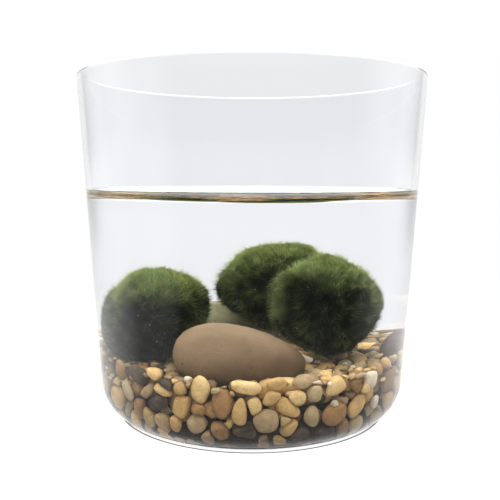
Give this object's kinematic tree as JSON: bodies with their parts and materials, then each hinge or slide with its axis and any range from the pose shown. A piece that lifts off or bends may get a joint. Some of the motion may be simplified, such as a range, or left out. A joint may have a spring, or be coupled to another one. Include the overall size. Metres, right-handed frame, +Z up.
{
  "type": "marimo moss ball",
  "caption": "Green marimo moss balls resting on pea gravel and stones under water in a clear, open, straight-sided glass jar.",
  "frame": {"origin": "centre of the jar's flat foot, on the surface that it stands on", "axes": "+Z up the jar, -Y towards the front, where the large pebble lies, +X to the right seen from the front"},
  "size_m": [0.1248, 0.1248, 0.1216],
  "materials": {
    "glass": "gloss",
    "water": "gloss",
    "moss": "matte",
    "gravel": "satin",
    "pebble": "satin",
    "dark": "satin",
    "slate": "matte",
    "cream": "satin",
    "tan": "satin",
    "brown": "satin",
    "greybrown": "satin",
    "grey": "satin",
    "white": "satin"
  },
  "bodies": {
    "root": {"glass_jar": "glass", "water": "water", "moss_ball_left": "moss", "moss_ball_right": "moss", "moss_ball_back": "moss", "large_pebble": "pebble", "dark_pebble": "dark", "slate_stone": "slate", "gravel_bed": "gravel", "pebble_01": "slate", "pebble_02": "brown", "pebble_03": "cream", "pebble_04": "slate", "pebble_05": "cream", "pebble_06": "tan", "pebble_07": "tan", "pebble_08": "cream", "pebble_09": "brown", "pebble_10": "greybrown", "pebble_11": "brown", "pebble_12": "brown", "pebble_13": "cream", "pebble_14": "tan", "pebble_15": "cream", "pebble_16": "slate", "pebble_17": "greybrown", "pebble_18": "tan", "pebble_19": "tan", "pebble_20": "tan", "pebble_21": "tan", "pebble_22": "cream", "pebble_23": "greybrown", "pebble_24": "grey", "pebble_25": "grey", "pebble_26": "cream", "pebble_27": "brown", "pebble_28": "tan", "pebble_29": "white"}
  },
  "joints": []
}
